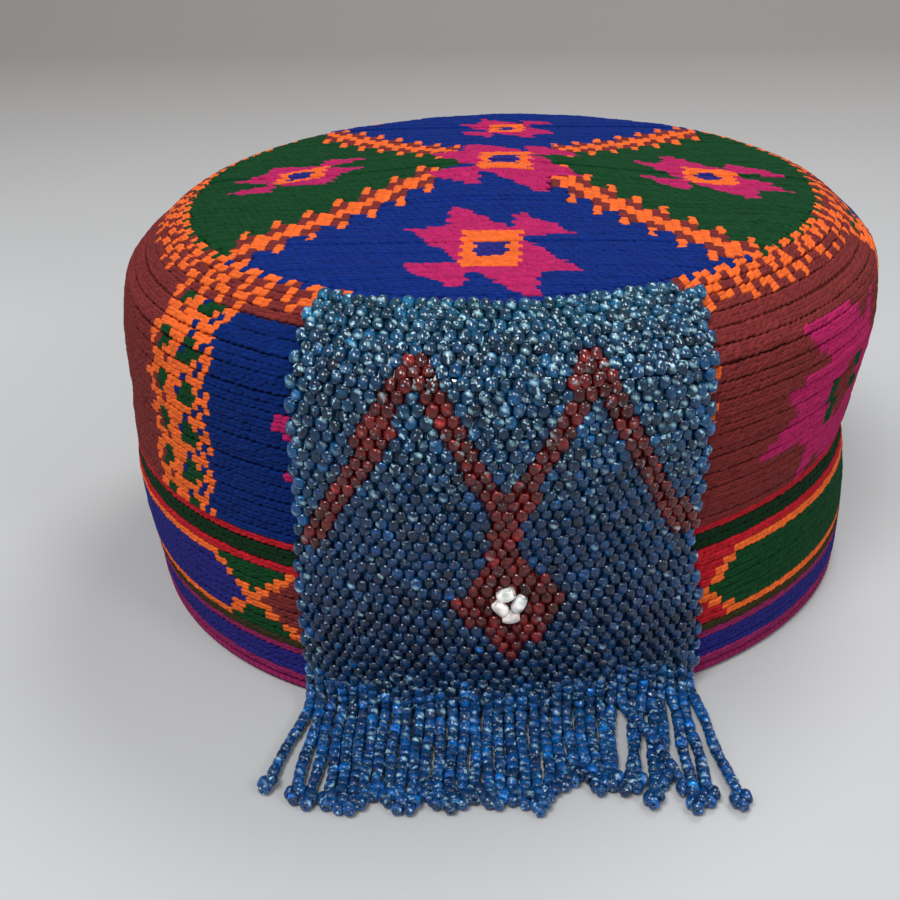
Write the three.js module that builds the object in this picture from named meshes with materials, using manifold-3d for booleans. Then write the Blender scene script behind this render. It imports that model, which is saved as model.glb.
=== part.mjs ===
// Embroidered pillbox cap with a woven bead panel over its front
// Millimetres, +Z up, the front faces -Y
// The origin lies under the middle of the box that holds the whole cap, on the surface that it stands on

import * as THREE from 'three';
import { mergeVertices } from 'three/addons/utils/BufferGeometryUtils.js';
import Module from 'manifold-3d';

const wasm = await Module();
wasm.setup();

// Driving sizes of the cap
const capRadius = 92;
const rimHeight = 78;
const crownRise = 19;
const browHeight = 38.5;
const hemHeight = 2.6;
const hemRoll = 0.6;
const clothThickness = 3;
const seamGap = 0.3;

// Driving sizes of the bead work
const beadSize = 2.6;
const panelWidth = 87.5;
const panelMiddle = THREE.MathUtils.degToRad(1);
const panelReach = 14.3;
const panelFoot = 5.8;
const fringeReach = 24;
const fringeHead = 1.6;
const fringeStrips = 16;
const stripSlit = 0.5;
const fringeSplay = 0.11;

// The outer line of the cap, a row for each section from the hem up to the crown's seam
// height is a share of rimHeight, radius and lean are shares of capRadius, lean is the drift to the right
const wallRows = [
  { height: 0.0, radius: 0.967, lean: -0.02 },
  { height: 0.12, radius: 0.974, lean: -0.022 },
  { height: 0.26, radius: 0.983, lean: -0.03 },
  { height: 0.4, radius: 0.982, lean: -0.039 },
  { height: 0.494, radius: 0.974, lean: -0.043 },
  { height: 0.58, radius: 0.981, lean: -0.034 },
  { height: 0.7, radius: 0.988, lean: -0.022 },
  { height: 0.855, radius: 1.0, lean: -0.01 },
  { height: 1.0, radius: 0.985, lean: -0.002 },
];

// The crown's outer line, a row for each section from its seam up to the middle
// radius is a share of capRadius, rise is a share of crownRise
const crownRows = [
  { radius: 0.957, rise: 0.2 },
  { radius: 0.91, rise: 0.41 },
  { radius: 0.86, rise: 0.595 },
  { radius: 0.81, rise: 0.69 },
  { radius: 0.74, rise: 0.735 },
  { radius: 0.58, rise: 0.76 },
  { radius: 0.42, rise: 0.8 },
  { radius: 0.22, rise: 0.9 },
  { radius: 0.0, rise: 1.0 },
];

// How the round plan is pulled out of round, a row for each wave around the cap
// lobes is the number of bulges, the others are shares of the radius, from the right side
const planRows = [
  { lobes: 2, hemCosine: 0.007, hemSine: -0.001, rimCosine: -0.006, rimSine: 0.014 },
  { lobes: 3, hemCosine: 0.02, hemSine: -0.004, rimCosine: 0.006, rimSine: 0.0 },
];

// The crown lies a little higher at the right and at the back, as a rise over the radius
const tiltRight = 0.0109;
const tiltBack = 0.0108;

// How far each strip of the fringe reaches, as a share of fringeReach, from the left
const stripReaches = [
  1.28, 1.26, 1.2, 1.14, 1.09, 1.04, 1.01, 0.98,
  1.0, 0.98, 0.84, 0.94, 1.08, 1.0, 1.38, 1.44,
];

// Fineness of the faceted surfaces
const capSides = 72;
const lineSteps = 288;
const panelColumns = 16;
const panelRows = 20;
const crownSteps = 11;
const wallSteps = 5;
const stripSteps = 5;

// The outer line as points with radius, height and lean, from the hem to the middle of the crown
const outerLine = outerCurve().getPoints(lineSteps);

function outerCurve() {
  const wall = wallRows.map(({ radius, height, lean }) => (
    new THREE.Vector3(radius * capRadius, height * rimHeight, lean * capRadius)
  ));
  const crown = crownRows.map(({ radius, rise }) => (
    new THREE.Vector3(radius * capRadius, rimHeight + rise * crownRise, 0)
  ));
  return new THREE.CatmullRomCurve3([...wall, ...crown], false, 'catmullrom');
}

// The point of the outer line at a given height, below the crown's seam
function wallPoint(height) {
  const next = outerLine.findIndex((point) => point.y >= height);
  if (next <= 0) {
    return outerLine[0].clone();
  }
  const below = outerLine[next - 1];
  const above = outerLine[next];
  return below.clone().lerp(above, (height - below.y) / (above.y - below.y));
}

// The outward normal of the outer line near one of its points, in radius and height
function lineNormal(index) {
  const before = outerLine[Math.max(index - 1, 0)];
  const after = outerLine[Math.min(index + 1, outerLine.length - 1)];
  return new THREE.Vector2(after.y - before.y, before.x - after.x).normalize();
}

// Puts a point that is given by radius, height, lean and angle from the front into the cap's soft shape
function mould(radius, height, lean, angle) {
  const fromRight = angle - Math.PI / 2;
  const share = THREE.MathUtils.clamp(height / rimHeight, 0, 1);
  let stretch = 1;
  for (const row of planRows) {
    const cosine = THREE.MathUtils.lerp(row.hemCosine, row.rimCosine, share);
    const sine = THREE.MathUtils.lerp(row.hemSine, row.rimSine, share);
    stretch += cosine * Math.cos(row.lobes * fromRight) + sine * Math.sin(row.lobes * fromRight);
  }
  const x = radius * stretch * Math.cos(fromRight) + lean;
  const y = radius * stretch * Math.sin(fromRight);
  const lift = (tiltRight * x + tiltBack * y) * height / (rimHeight + crownRise);
  return new THREE.Vector3(x, y, height + lift);
}

// Keeps only the corners of a shape and joins those that meet
function welded(geometry) {
  geometry.deleteAttribute('normal');
  geometry.deleteAttribute('uv');
  return mergeVertices(geometry, 0.001);
}

// Moves each corner of a shape to where a function puts it
function bent(geometry, move) {
  const corners = geometry.attributes.position;
  const corner = new THREE.Vector3();
  for (let index = 0; index < corners.count; index += 1) {
    corner.fromBufferAttribute(corners, index);
    corners.setXYZ(index, ...move(corner).toArray());
  }
  return geometry;
}

// Turns a closed section around the cap's axis and moulds it, each section point has radius, height and lean
function turned(section) {
  const heights = section.map((point) => new THREE.Vector2(point.x, point.y));
  const lathe = new THREE.LatheGeometry(heights, capSides);
  const stations = lathe.attributes.position;
  const perTurn = section.length;
  for (let index = 0; index < stations.count; index += 1) {
    const point = section[index % perTurn];
    const angle = Math.floor(index / perTurn) / capSides * Math.PI * 2;
    stations.setXYZ(index, ...mould(point.x, point.y, point.z, angle).toArray());
  }
  return welded(lathe);
}

// The section of a stretch of wall between two heights, outer side first, closed on itself
function wallSection(low, high, steps) {
  const outer = [];
  for (let step = 0; step <= steps; step += 1) {
    outer.push(wallPoint(low + (high - low) * step / steps));
  }
  const inner = outer.map((point) => new THREE.Vector3(point.x - clothThickness, point.y, point.z));
  return [...outer, ...inner.reverse(), outer[0]];
}

// The crown: a padded round top whose rim turns down to the seam
function crownShape() {
  const foot = rimHeight + seamGap / 2;
  const start = outerLine.findIndex((point) => point.y > foot);
  const end = outerLine.length - 1;
  const outer = [wallPoint(foot)];
  const inner = [new THREE.Vector3(outer[0].x - clothThickness, foot, outer[0].z)];
  for (let step = 1; step <= crownSteps; step += 1) {
    const index = Math.round(start + (end - start) * step / crownSteps);
    const point = outerLine[index];
    const normal = step === crownSteps ? new THREE.Vector2(0, 1) : lineNormal(index);
    const under = point.clone();
    under.x -= normal.x * clothThickness;
    under.y -= normal.y * clothThickness;
    outer.push(point);
    if (under.y > foot + seamGap) {
      inner.push(under);
    }
  }
  return turned([...outer, ...inner.reverse(), outer[0]]);
}

// The upper wall, between the red seam and the crown
function sideWallShape() {
  return turned(wallSection(browHeight + seamGap / 2, rimHeight - seamGap / 2, wallSteps));
}

// The band round the brow, below the red seam
function browBandShape() {
  return turned(wallSection(hemHeight + seamGap / 2, browHeight - seamGap / 2, wallSteps));
}

// The whipped edge at the bottom, a roll with a flat foot
function hemEdgeShape() {
  const top = hemHeight - seamGap / 2;
  const section = wallSection(0, top, 4);
  section.slice(1, 4).forEach((point) => {
    point.x += hemRoll;
  });
  return turned(section);
}

// The bead panel's way down: from its top edge on the crown, over the rim and down the wall to its foot
function panelPath() {
  const rim = outerLine.findIndex((point) => point.y > rimHeight);
  const top = outerLine.findIndex((point, index) => index > rim && point.x <= capRadius - panelReach);
  const path = [];
  for (let index = top; index >= 0; index -= 1) {
    const point = outerLine[index];
    if (point.y < panelFoot) {
      break;
    }
    path.push({ point, normal: lineNormal(index) });
  }
  const foot = wallPoint(panelFoot);
  path.push({ point: foot, normal: path[path.length - 1].normal });
  return path;
}

// The place at a share of the way down a path, with its normal
function alongPath(path, share) {
  const place = THREE.MathUtils.clamp(share, 0, 1) * (path.length - 1);
  const index = Math.min(Math.floor(place), path.length - 2);
  const part = place - index;
  return {
    point: path[index].point.clone().lerp(path[index + 1].point, part),
    normal: path[index].normal.clone().lerp(path[index + 1].normal, part).normalize(),
  };
}

// The woven bead panel: a slab as thick as a bead, bent along the path and around the cap
function beadPanelShape() {
  const path = panelPath();
  const slab = new THREE.BoxGeometry(panelWidth, 1, beadSize, panelColumns, panelRows, 1);
  return welded(bent(slab, (corner) => {
    const { point, normal } = alongPath(path, 0.5 - corner.y);
    const depth = corner.z + beadSize / 2 + seamGap;
    const angle = panelMiddle + corner.x / capRadius;
    return mould(point.x + normal.x * depth, point.y + normal.y * depth, point.z, angle);
  }));
}

// The middle line of a strip: down from the panel's foot and out along the surface below
function stripCurve(reach) {
  const top = panelFoot - seamGap;
  return new THREE.QuadraticBezierCurve(
    new THREE.Vector2(0, top),
    new THREE.Vector2(0, beadSize / 2),
    new THREE.Vector2(reach, beadSize / 2),
  );
}

// Bends a slab along a line that starts at the panel's foot and runs forward
function fringeSlab(across, width, line, steps, columns) {
  const root = wallPoint(panelFoot);
  const rootRadius = root.x + seamGap + beadSize / 2;
  const slab = new THREE.BoxGeometry(width, 1, beadSize, columns, steps, 1);
  return welded(bent(slab, (corner) => {
    const share = 0.5 - corner.y;
    const middle = line.getPoint(share);
    const slope = line.getTangent(share);
    const out = middle.x - slope.y * corner.z;
    const height = Math.max(middle.y + slope.x * corner.z, 0);
    const angle = panelMiddle + (across + corner.x) / capRadius;
    const drift = fringeSplay * (across + corner.x) / (panelWidth / 2);
    const start = mould(rootRadius, height, root.z, angle);
    return start.add(new THREE.Vector3(drift * out, -out, 0));
  }));
}

// The fringe: strips of bead strands, joined into one body with the row of beads that carries them
function beadFringeShape() {
  const pitch = panelWidth / fringeStrips;
  const top = panelFoot - seamGap;
  const headLine = new THREE.LineCurve(new THREE.Vector2(0, top), new THREE.Vector2(0, top - fringeHead));
  let fringe = solidOf(fringeSlab(0, panelWidth, headLine, 1, panelColumns));
  for (let strip = 0; strip < fringeStrips; strip += 1) {
    const across = (strip + 0.5) * pitch - panelWidth / 2;
    const line = stripCurve(fringeReach * stripReaches[strip % stripReaches.length]);
    fringe = fringe.add(solidOf(fringeSlab(across, pitch - stripSlit, line, stripSteps, 1)));
  }
  return geometryOf(fringe);
}

// A closed shape as a solid that can be joined
function solidOf(geometry) {
  return new wasm.Manifold(new wasm.Mesh({
    numProp: 3,
    vertProperties: geometry.attributes.position.array,
    triVerts: Uint32Array.from(geometry.index.array),
  }));
}

// A joined solid as a shape again
function geometryOf(solid) {
  const mesh = solid.getMesh();
  const geometry = new THREE.BufferGeometry();
  geometry.setAttribute('position', new THREE.BufferAttribute(mesh.vertProperties, 3));
  geometry.setIndex(new THREE.BufferAttribute(mesh.triVerts, 1));
  return geometry;
}

// Finishes, as plain colours
const blueStitching = new THREE.MeshStandardMaterial({ color: 0x1c3a8c, roughness: 0.85, metalness: 0 });
const maroonStitching = new THREE.MeshStandardMaterial({ color: 0x662a2e, roughness: 0.85, metalness: 0 });
const greenStitching = new THREE.MeshStandardMaterial({ color: 0x1d4a2e, roughness: 0.85, metalness: 0 });
const magentaStitching = new THREE.MeshStandardMaterial({ color: 0x8c2356, roughness: 0.85, metalness: 0 });
const tealGlass = new THREE.MeshStandardMaterial({ color: 0x1b4a6e, roughness: 0.2, metalness: 0 });
const blueGlass = new THREE.MeshStandardMaterial({ color: 0x15508a, roughness: 0.2, metalness: 0 });

function piece(name, geometry, material) {
  const mesh = new THREE.Mesh(geometry, material);
  mesh.name = name;
  return mesh;
}

const cap = new THREE.Group();
cap.add(piece('crown', crownShape(), blueStitching));
cap.add(piece('side_wall', sideWallShape(), maroonStitching));
cap.add(piece('brow_band', browBandShape(), greenStitching));
cap.add(piece('hem_edge', hemEdgeShape(), magentaStitching));
cap.add(piece('bead_panel', beadPanelShape(), tealGlass));
cap.add(piece('bead_fringe', beadFringeShape(), blueGlass));

// The origin goes under the middle of the whole cap
const bounds = new THREE.Box3().setFromObject(cap);
const middle = bounds.getCenter(new THREE.Vector3());
cap.position.set(-middle.x, -middle.y, -bounds.min.z);

export default cap;
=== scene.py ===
# Embroidered pillbox cap with a woven bead panel, dressed over its CAD frame
# The settings are in millimetres and degrees, the scene is in metres, the front faces -Y
import math
import bpy
import numpy as np
from mathutils import Matrix


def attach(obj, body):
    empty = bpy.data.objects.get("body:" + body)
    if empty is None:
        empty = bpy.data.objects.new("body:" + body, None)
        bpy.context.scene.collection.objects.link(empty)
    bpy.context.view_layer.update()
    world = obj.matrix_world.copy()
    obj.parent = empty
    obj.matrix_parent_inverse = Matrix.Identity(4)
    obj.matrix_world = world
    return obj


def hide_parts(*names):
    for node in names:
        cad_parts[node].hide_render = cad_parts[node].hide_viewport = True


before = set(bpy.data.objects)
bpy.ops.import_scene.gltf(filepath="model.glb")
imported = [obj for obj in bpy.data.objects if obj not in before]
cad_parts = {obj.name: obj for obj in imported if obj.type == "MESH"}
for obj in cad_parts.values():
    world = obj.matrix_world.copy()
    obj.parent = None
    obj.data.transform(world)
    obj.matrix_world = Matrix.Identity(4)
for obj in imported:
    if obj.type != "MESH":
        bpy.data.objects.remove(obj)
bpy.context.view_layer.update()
scene = bpy.context.scene
metre = 0.001

# The cap's outer form, the same rows as the frame's
capForm = {
    "radius": 92.0,
    "rimHeight": 78.0,
    "crownRise": 19.0,
    "browHeight": 38.5,
    "hemHeight": 2.6,
    "thickness": 3.0,
    "seamGap": 0.3,
    "tiltRight": 0.0109,
    "tiltBack": 0.0108,
    "origin": (0.6886, 12.2163, 0.0044),
    # share of rimHeight, share of radius, drift to the right as a share of radius
    "wallRows": [
        (0.0, 0.967, -0.02), (0.12, 0.974, -0.022), (0.26, 0.983, -0.03),
        (0.4, 0.982, -0.039), (0.494, 0.974, -0.043), (0.58, 0.981, -0.034),
        (0.7, 0.988, -0.022), (0.855, 1.0, -0.01), (1.0, 0.985, -0.002),
    ],
    # share of radius, share of crownRise
    "crownRows": [
        (0.957, 0.2), (0.91, 0.41), (0.86, 0.595), (0.81, 0.69), (0.74, 0.735),
        (0.58, 0.76), (0.42, 0.8), (0.22, 0.9), (0.0, 1.0),
    ],
    # lobes round the plan, cosine and sine shares at the hem, then at the rim
    "planRows": [(2, 0.007, -0.001, -0.006, 0.014), (3, 0.02, -0.004, 0.006, 0.0)],
}

# Dyes, as they look under plain light, but for the wall's blue, which is the blue darkened as painted shade
dyes = {
    "maroon": (0.45, 0.165, 0.165),
    "blue": (0.01, 0.148, 0.44),
    # The blue made darker for the wall: painted shade, as the upright wall gets less of the light from above
    # than the crown
    "shadedWallBlue": (0.015, 0.14, 0.39),
    "navy": (0.14, 0.135, 0.44),
    "green": (0.05, 0.24, 0.12),
    "deepGreen": (0.06, 0.17, 0.09),
    "magenta": (0.68, 0.125, 0.36),
    "orange": (0.90, 0.40, 0.17),
    "red": (0.68, 0.10, 0.15),
    "plum": (0.53, 0.13, 0.33),
    "moss": (0.20, 0.18, 0.09),
}
dyeNames = list(dyes)
dyeIndex = {name: place for place, name in enumerate(dyeNames)}


# Screen colour to light, by the curve of a common display: straight near black, then a power
def toLight(colours):
    colours = np.asarray(colours, float)
    low = colours / 12.92
    high = ((colours + 0.055) / 1.055) ** 2.4
    return np.where(colours <= 0.04045, low, high)


dyeTable = toLight([dyes[name] for name in dyeNames])


# Uniform Catmull-Rom line through the rows, with its length from the hem
def outerLine(count=2880):
    radius = capForm["radius"]
    wall = [(wide * radius, high * capForm["rimHeight"], lean * radius)
            for high, wide, lean in capForm["wallRows"]]
    crown = [(wide * radius, capForm["rimHeight"] + rise * capForm["crownRise"], 0.0)
             for wide, rise in capForm["crownRows"]]
    rows = np.array(wall + crown)
    padded = np.concatenate([[2 * rows[0] - rows[1]], rows, [2 * rows[-1] - rows[-2]]])
    place = np.linspace(0, len(rows) - 1, count + 1)
    span = np.minimum(place.astype(int), len(rows) - 2)
    part = (place - span)[:, None]
    before, start, end, after = (padded[span + step] for step in range(4))
    line = ((2 * part**3 - 3 * part**2 + 1) * start
            + (part**3 - 2 * part**2 + part) * (end - before) / 2
            + (3 * part**2 - 2 * part**3) * end
            + (part**3 - part**2) * (after - start) / 2)
    steps = np.hypot(*np.diff(line[:, :2], axis=0).T)
    length = np.concatenate([[0], np.cumsum(steps)])
    slope = np.gradient(line[:, :2], length, axis=0)
    slope /= np.linalg.norm(slope, axis=1, keepdims=True)
    return length, line, np.stack([slope[:, 1], -slope[:, 0]], 1)


lineLength, linePoints, lineNormals = outerLine()
crownLength = float(lineLength[-1])


# Radius, height and lean at a length along the line from the hem
def lineAt(along):
    return [np.interp(along, lineLength, linePoints[:, column]) for column in range(3)]


# The cap's soft shape: the round plan is stretched by its lobes and the crown tilts a little
def mould(radius, height, lean, angle):
    share = np.clip(height / capForm["rimHeight"], 0, 1)
    stretch = 1.0
    for lobes, hemCosine, hemSine, rimCosine, rimSine in capForm["planRows"]:
        cosine = hemCosine + (rimCosine - hemCosine) * share
        sine = hemSine + (rimSine - hemSine) * share
        stretch = stretch + cosine * np.cos(lobes * angle) + sine * np.sin(lobes * angle)
    x = radius * stretch * np.cos(angle) + lean
    y = radius * stretch * np.sin(angle)
    tall = capForm["rimHeight"] + capForm["crownRise"]
    lift = (capForm["tiltRight"] * x + capForm["tiltBack"] * y) * height / tall
    points = np.stack(np.broadcast_arrays(x, y, height + lift), -1)
    return points + np.array(capForm["origin"])


# A point on the cap: length from the hem, angle from the right side in radians, lift off the surface
def capPoint(along, angle, lift=0.0):
    radius, height, lean = lineAt(along)
    normals = [np.interp(along, lineLength, lineNormals[:, column]) for column in range(2)]
    return mould(radius + normals[0] * lift, height + normals[1] * lift, lean, angle)


# The same for the flat drawing of the crown: across and back from its middle, in millimetres
drawingTurn = math.radians(-3.0)


def drawnPoint(across, back, lift=0.0):
    along = crownLength - np.hypot(across, back)
    return capPoint(along, np.arctan2(back, across) + drawingTurn, lift)


def toDrawing(along, angle):
    reach = crownLength - along
    turned = angle - drawingTurn
    return reach * np.cos(turned), reach * np.sin(turned)


triangleCounts = []


# A closed mesh from arrays of corners and faces, with dye per corner and a map per corner
def buildPiece(name, points, faceSets, material, dye=None, mapped=None):
    mesh = bpy.data.meshes.new(name)
    corners = np.concatenate([faces.ravel() for faces in faceSets]).astype(np.int32)
    sizes = np.concatenate([np.full(len(faces), faces.shape[1]) for faces in faceSets])
    starts = np.concatenate([[0], np.cumsum(sizes)[:-1]]).astype(np.int32)
    mesh.vertices.add(len(points))
    mesh.vertices.foreach_set("co", (np.asarray(points) * metre).ravel())
    mesh.loops.add(len(corners))
    mesh.loops.foreach_set("vertex_index", corners)
    mesh.polygons.add(len(sizes))
    mesh.polygons.foreach_set("loop_start", starts)
    mesh.polygons.foreach_set("use_smooth", np.ones(len(sizes), bool))
    mesh.update(calc_edges=True)
    if dye is not None:
        layer = mesh.color_attributes.new(name="dye", type="FLOAT_COLOR", domain="POINT")
        layer.data.foreach_set("color", np.column_stack([dye, np.ones(len(dye))]).ravel())
    if mapped is not None:
        layer = mesh.uv_layers.new(name="yarnMap")
        layer.data.foreach_set("uv", np.asarray(mapped)[corners].ravel())
    piece = bpy.data.objects.new(name, mesh)
    scene.collection.objects.link(piece)
    mesh.materials.append(material)
    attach(piece, "root")
    triangles = int((sizes - 2).sum())
    triangleCounts.append(triangles)
    print(f"{name}: {triangles} triangles")
    return piece


# Quads of a grid of corners that closes on itself in one or both directions
def gridFaces(rows, columns, closeRows, closeColumns):
    row = np.arange(rows if closeRows else rows - 1)
    column = np.arange(columns if closeColumns else columns - 1)
    row, column = np.meshgrid(row, column, indexing="ij")
    nextRow = (row + 1) % rows
    nextColumn = (column + 1) % columns
    faces = np.stack([row * columns + column, row * columns + nextColumn,
                      nextRow * columns + nextColumn, nextRow * columns + column], -1)
    return faces.reshape(-1, 4)


# Adds a shader node, with settings on the node itself and values on its sockets
def addNode(tree, kind, values=None, **settings):
    node = tree.nodes.new("ShaderNode" + kind)
    for name, value in settings.items():
        setattr(node, name, value)
    for socket, value in (values or {}).items():
        node.inputs[socket].default_value = value
    return node


# Joins an output of one node to an input of another
def joinNodes(tree, *joins):
    for source, output, target, socket in joins:
        tree.links.new(source.outputs[output], target.inputs[socket])


# A material with plain values on the shader's own sockets
def startMaterial(name, values):
    material = bpy.data.materials.new(name)
    material.use_nodes = True
    shader = material.node_tree.nodes["Principled BSDF"]
    for socket, value in values.items():
        shader.inputs[socket].default_value = value
    return material, material.node_tree, shader


# Camera, light and floor

view = {
    "place": (-5.189, -281.901, 172.462),
    "yaw": -1.414,
    "down": 27.636,
    "roll": -0.949,
    "lens": 48.64,
    "sensor": 36.0,
    "clipStart": 0.01,
}


# Looks along yaw and down, then rolls about the line of sight
def makeCamera():
    yaw, down, roll = (math.radians(view[key]) for key in ("yaw", "down", "roll"))
    ahead = np.array([math.sin(yaw) * math.cos(down), math.cos(yaw) * math.cos(down), -math.sin(down)])
    right = np.cross(ahead, [0, 0, 1])
    right /= np.linalg.norm(right)
    up = np.cross(right, ahead)
    rolledRight = math.cos(roll) * right + math.sin(roll) * up
    rolledUp = -math.sin(roll) * right + math.cos(roll) * up
    camera = bpy.data.objects.new("camera", bpy.data.cameras.new("camera"))
    camera.data.lens = view["lens"]
    camera.data.sensor_width = view["sensor"]
    camera.data.sensor_fit = "HORIZONTAL"
    camera.data.clip_start = view["clipStart"]
    turned = Matrix(np.stack([rolledRight, rolledUp, -ahead], 1).tolist()).to_4x4()
    place = Matrix.Translation([value * metre for value in view["place"]])
    camera.matrix_world = place @ turned
    scene.collection.objects.link(camera)
    scene.camera = camera


makeCamera()

# Lengths here are in metres
studio = {
    "floorColour": (0.70, 0.705, 0.71),
    "backColour": (0.56, 0.545, 0.535),
    "floorRoughness": 0.95,
    # Faint mottling, painted shade of soft folds in the cloth: its scale, its range in the noise and the
    # darkest share of the floor's colour
    "foldShadeScale": 3.0,
    "foldShadeStops": [(0.35, 0.93), (0.65, 1.0)],
    # How far back the floor's colour starts to turn to the backdrop's, and where it has turned
    "fade": (0.15, 0.75),
    # The floor's front edge, where it starts to curve up, the curve's radius, the top, half the width
    "front": -1.6,
    "curveFrom": 0.75,
    "curveRadius": 0.6,
    "top": 2.6,
    "half": 2.4,
    "columns": 25,
    "skyStrength": 0.5,
    "skyColour": (0.96, 0.98, 1.0),
    # name: size, place, power in W
    "lamps": {
        "high_front": (0.5, (-0.4, -0.7, 1.3), 11.0),
        "small_front": (0.13, (-0.12, -0.75, 1.0), 3.0),
        "high_back": (0.6, (0.35, 0.6, 1.25), 9.0),
        "front_right": (0.35, (0.75, -0.75, 0.8), 3.0),
    },
    # Height of the point that the lamps look at, above the origin
    "aimHeight": 0.05,
}


def makeLights():
    world = bpy.data.worlds.new("studio")
    world.use_nodes = True
    background = world.node_tree.nodes["Background"]
    background.inputs["Color"].default_value = (*studio["skyColour"], 1)
    background.inputs["Strength"].default_value = studio["skyStrength"]
    scene.world = world
    for name, (size, place, power) in studio["lamps"].items():
        lamp = bpy.data.lights.new(name, "AREA")
        lamp.shape = "DISK"
        lamp.size = size
        lamp.energy = power
        lampObject = bpy.data.objects.new(name, lamp)
        lampObject.location = place
        aim = -lampObject.location.copy()
        aim.z += studio["aimHeight"]
        lampObject.rotation_euler = aim.to_track_quat("-Z", "Y").to_euler()
        scene.collection.objects.link(lampObject)


# Pale and faintly mottled as painted shade of soft folds, greyer towards the backdrop
def floorMaterial():
    material, tree, shader = startMaterial("floor_cloth", {"Roughness": studio["floorRoughness"]})
    place = addNode(tree, "TexCoord")
    noise = addNode(tree, "TexNoise", {"Scale": studio["foldShadeScale"]})
    ramp = addNode(tree, "ValToRGB")
    for element, (position, share) in zip(ramp.color_ramp.elements, studio["foldShadeStops"]):
        element.position = position
        element.color = (*(toLight(studio["floorColour"]) * share), 1)
    apart = addNode(tree, "SeparateXYZ")
    fade = addNode(tree, "MapRange", {"From Min": studio["fade"][0], "From Max": studio["fade"][1]})
    blend = addNode(tree, "Mix", {"B": (*toLight(studio["backColour"]), 1)}, data_type="RGBA")
    joinNodes(tree, (place, "Object", noise, "Vector"), (noise, "Fac", ramp, "Fac"),
              (place, "Object", apart, "Vector"), (apart, "Y", fade, "Value"),
              (fade, "Result", blend, "Factor"), (ramp, "Color", blend, "A"),
              (blend, "Result", shader, "Base Color"))
    return material


# The floor runs back and curves up into a backdrop, as a quarter circle
def makeFloor():
    curve = studio["curveRadius"]
    columns = studio["columns"]
    turn = np.linspace(0, math.pi / 2, 17)
    wallDepth = studio["curveFrom"] + curve
    depth = np.concatenate([[studio["front"]], studio["curveFrom"] + curve * np.sin(turn), [wallDepth]])
    height = np.concatenate([[0.0], curve - curve * np.cos(turn), [studio["top"]]])
    across = np.linspace(-studio["half"], studio["half"], columns)
    back, right = np.meshgrid(depth, across, indexing="ij")
    points = np.stack([right, back, np.repeat(height, columns).reshape(back.shape)], -1).reshape(-1, 3)
    faces = gridFaces(len(depth), columns, False, False)
    mesh = bpy.data.meshes.new("floor")
    mesh.from_pydata(points.tolist(), [], faces.tolist())
    mesh.polygons.foreach_set("use_smooth", np.ones(len(faces), bool))
    mesh.materials.append(floorMaterial())
    floor = bpy.data.objects.new("floor", mesh)
    scene.collection.objects.link(floor)


makeLights()
makeFloor()
scene.view_settings.view_transform = "Standard"
print("camera, light and floor are in place")

# Materials

yarn = {
    "shader": {"Roughness": 0.8, "Specular IOR Level": 0.05, "Sheen Roughness": 0.45},
    # Darkest and lightest shade that the mottling gives, and that the streaks give
    "mottleShades": (0.7, 1.3),
    "streakShades": (0.8, 1.12),
    "streakBend": 1.5,
    "streakDetail": 1.0,
    "mottleDetail": 3.0,
    "bumpDepth": 0.0002,
    # For each finish its sheen, the scale of its streaks and of its mottling, and the strength of the bump
    "wool_yarn": (0.015, 2.2, 900.0, 0.5),
    "felted_ground": (0.02, 1.0, 600.0, 0.3),
}


# A node that turns 0 to 1 into a range
def shadeRange(tree, low, high):
    return addNode(tree, "MapRange", {"To Min": low, "To Max": high})


# Twisted yarn: fine streaks along each stitch and a soft mottling, as a shade and a height
def makeYarnGroup():
    group = bpy.data.node_groups.new("yarnTwist", "ShaderNodeTree")
    for name, kind in [("Map", "Vector"), ("Place", "Vector"), ("Streaks", "Float"), ("Mottle", "Float")]:
        group.interface.new_socket(name, in_out="INPUT", socket_type="NodeSocket" + kind)
    for name in ("Shade", "Height"):
        group.interface.new_socket(name, in_out="OUTPUT", socket_type="NodeSocketFloat")
    inside = group.nodes.new("NodeGroupInput")
    outside = group.nodes.new("NodeGroupOutput")
    wave = addNode(group, "TexWave", {"Distortion": yarn["streakBend"], "Detail": yarn["streakDetail"]},
                   wave_type="BANDS", bands_direction="DIAGONAL")
    noise = addNode(group, "TexNoise", {"Detail": yarn["mottleDetail"]})
    mottled = shadeRange(group, *yarn["mottleShades"])
    streaked = shadeRange(group, *yarn["streakShades"])
    times = addNode(group, "Math", operation="MULTIPLY")
    joinNodes(group, (inside, "Map", wave, "Vector"), (inside, "Streaks", wave, "Scale"),
              (inside, "Place", noise, "Vector"), (inside, "Mottle", noise, "Scale"),
              (noise, "Fac", mottled, "Value"), (wave, "Fac", streaked, "Value"),
              (mottled, "Result", times, 0), (streaked, "Result", times, 1),
              (times, "Value", outside, "Shade"), (wave, "Fac", outside, "Height"))
    return group


yarnGroup = makeYarnGroup()


# Wool yarn or cloth in the colours of its dye attribute
def yarnMaterial(name):
    sheen, streaks, mottle, bump = yarn[name]
    material, tree, shader = startMaterial(name, {**yarn["shader"], "Sheen Weight": sheen})
    dye = addNode(tree, "Attribute", attribute_name="dye")
    yarnMap = addNode(tree, "UVMap", uv_map="yarnMap")
    place = addNode(tree, "TexCoord")
    twist = addNode(tree, "Group", node_tree=yarnGroup)
    twist.inputs["Streaks"].default_value = streaks
    twist.inputs["Mottle"].default_value = mottle
    tinted = addNode(tree, "VectorMath", operation="SCALE")
    height = addNode(tree, "Bump", {"Strength": bump, "Distance": yarn["bumpDepth"]})
    joinNodes(tree, (yarnMap, "UV", twist, "Map"), (place, "Object", twist, "Place"),
              (dye, "Color", tinted, 0), (twist, "Shade", tinted, "Scale"),
              (tinted, "Vector", shader, "Base Color"), (twist, "Height", height, "Height"),
              (height, "Normal", shader, "Normal"))
    return material


woolYarn = yarnMaterial("wool_yarn")
feltedGround = yarnMaterial("felted_ground")

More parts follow.
